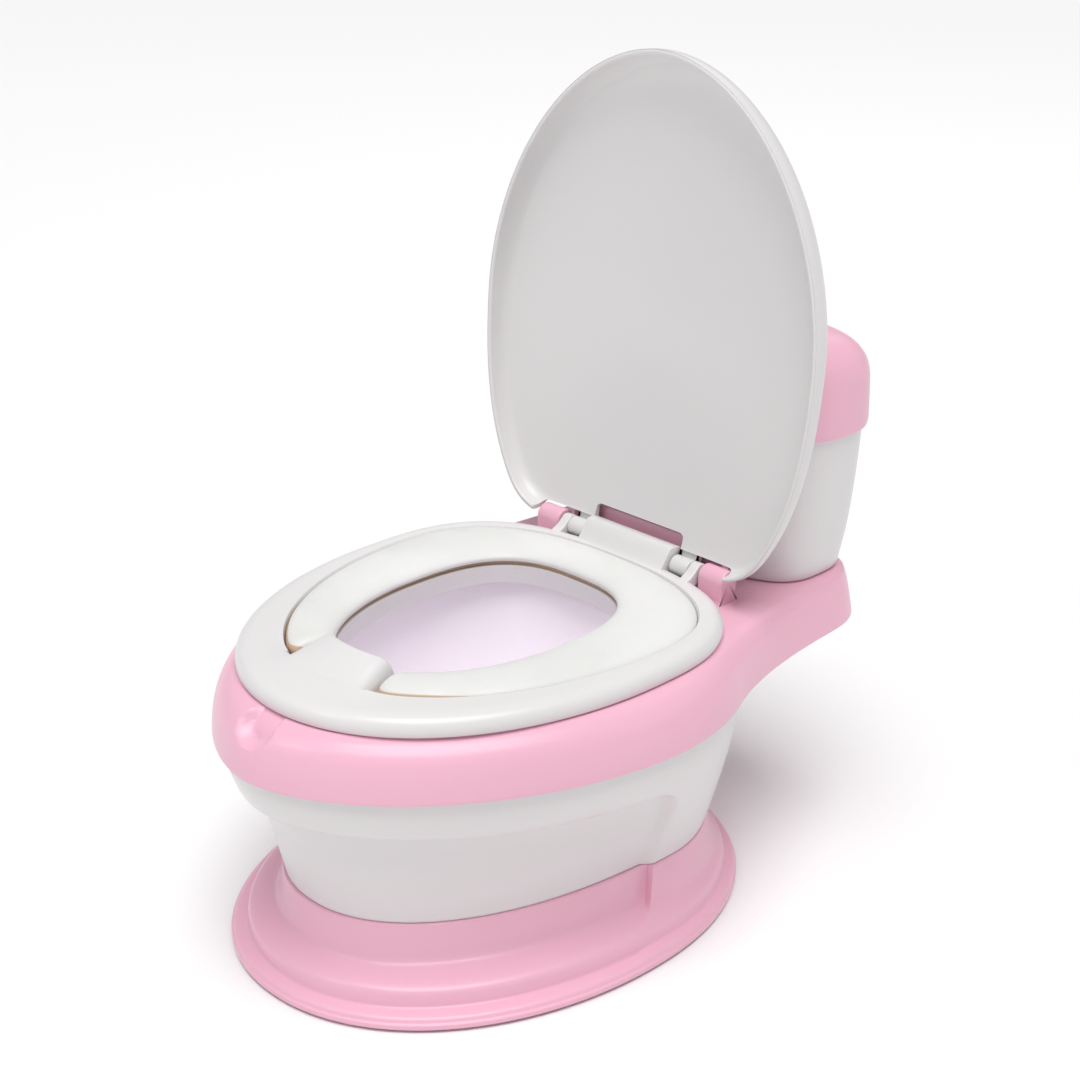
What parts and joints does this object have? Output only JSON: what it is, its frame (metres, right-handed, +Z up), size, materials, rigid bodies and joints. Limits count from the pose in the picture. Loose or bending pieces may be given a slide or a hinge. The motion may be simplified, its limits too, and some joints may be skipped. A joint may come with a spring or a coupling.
{
  "type": "potty training chair",
  "caption": "Toddler potty shaped like a small toilet, with a hinged lid and seat, a padded cushion, a lift-out pot, a pedestal and a mock tank.",
  "frame": {"origin": "on the floor, under the centre of the object's bounding box at rest", "axes": "+Z up, -Y is the front where the child's legs go, +Y the tank, +X the seated child's left"},
  "size_m": [0.285, 0.4206, 0.4827],
  "materials": {
    "pink_plastic": "soft gloss moulded polypropylene, pastel pink",
    "white_plastic": "gloss moulded polypropylene, white",
    "pot_plastic": "slightly translucent pale lavender polypropylene",
    "pu_cushion": "soft skinned polyurethane foam, off-white, satin",
    "backing_plastic": "matt moulded backing",
    "rubber_pad": "soft translucent white rubber",
    "steel": "zinc-plated steel"
  },
  "bodies": {
    "chair": {"base": "pink_plastic", "base_screw_1": "steel", "base_screw_2": "steel", "base_screw_3": "steel", "base_screw_4": "steel", "bowl_body": "white_plastic", "seat_deck": "pink_plastic", "hinge_pin_left": "steel", "hinge_pin_right": "steel", "foot_pad_1": "rubber_pad", "foot_pad_2": "rubber_pad", "foot_pad_3": "rubber_pad", "foot_pad_4": "rubber_pad", "foot_pad_5": "rubber_pad", "foot_pad_6": "rubber_pad"},
    "lid": {"lid": "white_plastic"},
    "seat": {"seat_ring": "white_plastic", "seat_bumper_front_left": "rubber_pad", "seat_bumper_front_right": "rubber_pad", "seat_bumper_rear_left": "rubber_pad", "seat_bumper_rear_right": "rubber_pad"},
    "cushion": {"seat_cushion": "pu_cushion", "cushion_plate": "backing_plastic"},
    "tank": {"tank_body": "white_plastic"},
    "tank_cap": {"tank_cap": "pink_plastic"},
    "pot": {"inner_pot": "pot_plastic"}
  },
  "joints": [
    {"name": "lid_hinge", "type": "hinge", "parent": "chair", "child": "lid", "pos_m": [0, 0.087, 0.1855], "axis": [1, 0, 0], "range_deg": [0, 94.7]},
    {"name": "seat_hinge", "type": "hinge", "parent": "chair", "child": "seat", "pos_m": [0, 0.087, 0.1855], "axis": [1, 0, 0], "range_deg": [-88, 0]},
    {"name": "cushion_lift", "type": "slide", "parent": "seat", "child": "cushion", "axis": [0, 0, -1], "range_m": [-0.004, 0]},
    {"name": "tank_lift", "type": "slide", "parent": "chair", "child": "tank", "axis": [0, 0, 1], "range_m": [0, 0.014]},
    {"name": "cap_lift", "type": "slide", "parent": "tank", "child": "tank_cap", "axis": [0, 0, 1], "range_m": [0, 0.018]},
    {"name": "pot_lift", "type": "slide", "parent": "chair", "child": "pot", "axis": [0, 0, 1], "range_m": [0, 0.037]}
  ],
  "couplings": [
    {"joint": "pot_lift", "follows": "seat_hinge", "m_per_rad": -0.024}
  ]
}
